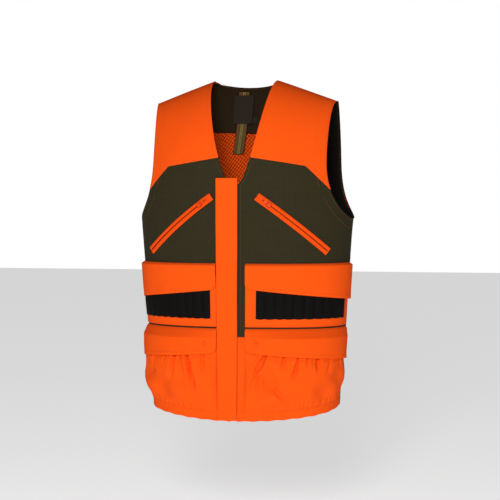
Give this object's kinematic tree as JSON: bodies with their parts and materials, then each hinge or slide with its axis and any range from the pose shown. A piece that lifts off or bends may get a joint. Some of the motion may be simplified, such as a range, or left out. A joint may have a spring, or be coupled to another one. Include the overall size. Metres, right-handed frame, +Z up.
{
  "type": "hunting vest",
  "caption": "Sleeveless hunting vest of orange and dark cloth with zipped front, storm flap, angled chest zips, cartridge loops under flaps and flapped cargo pockets.",
  "frame": {"origin": "midway between the neck ends of the two shoulder seams, where the vest rests on a hanger or on the wearer's shoulders", "axes": "+Z up, the front faces -Y, +X is the wearer's left"},
  "size_m": [0.471, 0.2852, 0.7273],
  "materials": {
    "orange_cloth": "matt woven cloth with a soft brushed face",
    "orange_trim": "orange zip tape and flap edging, matt",
    "olive_ripstop": "matt ripstop with a fine raised grid",
    "black_elastic": "ribbed elastic webbing, matt",
    "black_cloth": "matt facing tape",
    "dark_net": "open diamond net",
    "striped_ribbon": "woven ribbon, olive brown with two pale lines",
    "dark_label": "smooth woven label, no lettering",
    "dark_metal": "dull plated zip and snap metal",
    "orange_lacquer": "zip slider and puller in glossy orange lacquer",
    "zip_plastic": "dark red moulded zip parts"
  },
  "bodies": {
    "vest_back": {"back_yoke": "orange_cloth", "back_panel": "orange_cloth", "side_panel_left": "olive_ripstop", "side_panel_right": "olive_ripstop", "back_net_lining": "dark_net", "back_neck_facing": "olive_ripstop", "back_armhole_facing_left": "black_cloth", "back_armhole_facing_right": "black_cloth", "game_pouch": "olive_ripstop", "rear_zip_tape": "olive_ripstop", "size_tag": "black_cloth"},
    "hanger": {"hanger_strap": "striped_ribbon", "neck_label": "dark_label"},
    "rear_slider": {"rear_zip_slider": "dark_metal"},
    "rear_puller": {"rear_zip_puller": "dark_metal"},
    "storm_flap": {"storm_flap": "orange_cloth"},
    "main_slider": {"main_zip_slider": "dark_metal", "main_zip_puller": "dark_metal"},
    "front_left": {"front_yoke_left": "orange_cloth", "front_body_left": "olive_ripstop", "front_skirt_left": "orange_cloth", "front_lining_left": "dark_net", "front_armhole_facing_left": "black_cloth", "loop_pocket_frame_left": "orange_cloth", "cartridge_loops_left": "black_elastic", "loop_flap_welt_left": "orange_cloth", "cargo_pouch_left": "orange_cloth", "cargo_flap_welt_left": "orange_cloth", "snap_stud_left": "dark_metal", "chest_zip_tape_left": "orange_trim", "main_zip_half_left": "orange_trim", "zip_retainer_box": "zip_plastic"},
    "chest_slider_left": {"chest_zip_slider_left": "orange_lacquer"},
    "chest_puller_left": {"chest_zip_puller_left": "orange_lacquer"},
    "loop_flap_left": {"loop_flap_left": "orange_cloth"},
    "cargo_flap_left": {"cargo_flap_left": "orange_cloth", "snap_cap_left": "dark_metal"},
    "front_right": {"front_yoke_right": "orange_cloth", "front_body_right": "olive_ripstop", "front_skirt_right": "orange_cloth", "front_lining_right": "dark_net", "front_armhole_facing_right": "black_cloth", "loop_pocket_frame_right": "orange_cloth", "cartridge_loops_right": "black_elastic", "loop_flap_welt_right": "orange_cloth", "cargo_pouch_right": "orange_cloth", "cargo_flap_welt_right": "orange_cloth", "snap_stud_right": "dark_metal", "chest_zip_tape_right": "orange_trim", "main_zip_half_right": "orange_trim"},
    "chest_slider_right": {"chest_zip_slider_right": "orange_lacquer"},
    "chest_puller_right": {"chest_zip_puller_right": "orange_lacquer"},
    "loop_flap_right": {"loop_flap_right": "orange_cloth"},
    "cargo_flap_right": {"cargo_flap_right": "orange_cloth", "snap_cap_right": "dark_metal"}
  },
  "joints": [
    {"name": "front_left_swing", "type": "hinge", "parent": "vest_back", "child": "front_left", "pos_m": [0.231, 0, -0.305], "axis": [0.0676, 0, 0.9977], "range_deg": [0, 25]},
    {"name": "front_right_swing", "type": "hinge", "parent": "vest_back", "child": "front_right", "pos_m": [-0.231, 0, -0.305], "axis": [0.0676, 0, -0.9977], "range_deg": [0, 25]},
    {"name": "storm_flap_fold", "type": "hinge", "parent": "front_left", "child": "storm_flap", "pos_m": [0.00754, -0.13678, -0.305], "axis": [0, 0, 1], "range_deg": [0, 120]},
    {"name": "main_zip_run", "type": "slide", "parent": "front_left", "child": "main_slider", "axis": [0, 0, -1], "range_m": [0, 0.484]},
    {"name": "chest_zip_run_left", "type": "hinge", "parent": "front_left", "child": "chest_slider_left", "pos_m": [-0.02155, 0.23246, -0.34832], "axis": [0.5374, 0.2994, 0.7884], "range_deg": [0, 22.3]},
    {"name": "chest_puller_swing_left", "type": "hinge", "parent": "chest_slider_left", "child": "chest_puller_left", "pos_m": [0.07576, -0.13624, -0.27462], "axis": [0.5374, 0.2994, 0.7884], "range_deg": [0, 170]},
    {"name": "loop_flap_lift_left", "type": "hinge", "parent": "front_left", "child": "loop_flap_left", "pos_m": [0.17667, -0.10116, -0.403], "axis": [-0.8484, -0.5294, 0], "range_deg": [0, 95]},
    {"name": "cargo_flap_lift_left", "type": "hinge", "parent": "front_left", "child": "cargo_flap_left", "pos_m": [0.1677, -0.09805, -0.541], "axis": [-0.8407, -0.5415, 0], "range_deg": [0, 95]},
    {"name": "chest_zip_run_right", "type": "hinge", "parent": "front_right", "child": "chest_slider_right", "pos_m": [0.02155, 0.23246, -0.34832], "axis": [0.5374, -0.2994, -0.7884], "range_deg": [0, 22.3]},
    {"name": "chest_puller_swing_right", "type": "hinge", "parent": "chest_slider_right", "child": "chest_puller_right", "pos_m": [-0.07576, -0.13624, -0.27462], "axis": [0.5374, -0.2994, -0.7884], "range_deg": [0, 170]},
    {"name": "loop_flap_lift_right", "type": "hinge", "parent": "front_right", "child": "loop_flap_right", "pos_m": [-0.18171, -0.09784, -0.403], "axis": [-0.8321, 0.5547, 0], "range_deg": [0, 95]},
    {"name": "cargo_flap_lift_right", "type": "hinge", "parent": "front_right", "child": "cargo_flap_right", "pos_m": [-0.16909, -0.09712, -0.541], "axis": [-0.8237, 0.5671, 0], "range_deg": [0, 95]},
    {"name": "hanger_swing", "type": "hinge", "parent": "vest_back", "child": "hanger", "pos_m": [-0.017, 0.05105, -0.02489], "axis": [-1, 0, 0], "range_deg": [0, 150]},
    {"name": "rear_zip_run", "type": "hinge", "parent": "vest_back", "child": "rear_slider", "pos_m": [0, -0.45713, -0.446], "axis": [0, 0, 1], "range_deg": [0, 21.3]},
    {"name": "rear_puller_swing", "type": "hinge", "parent": "rear_slider", "child": "rear_puller", "pos_m": [0.10661, 0.11083, -0.446], "axis": [0, 0, -1], "range_deg": [0, 170]}
  ],
  "couplings": [
    {"joint": "front_right_swing", "follows": "front_left_swing", "ratio": 1}
  ]
}
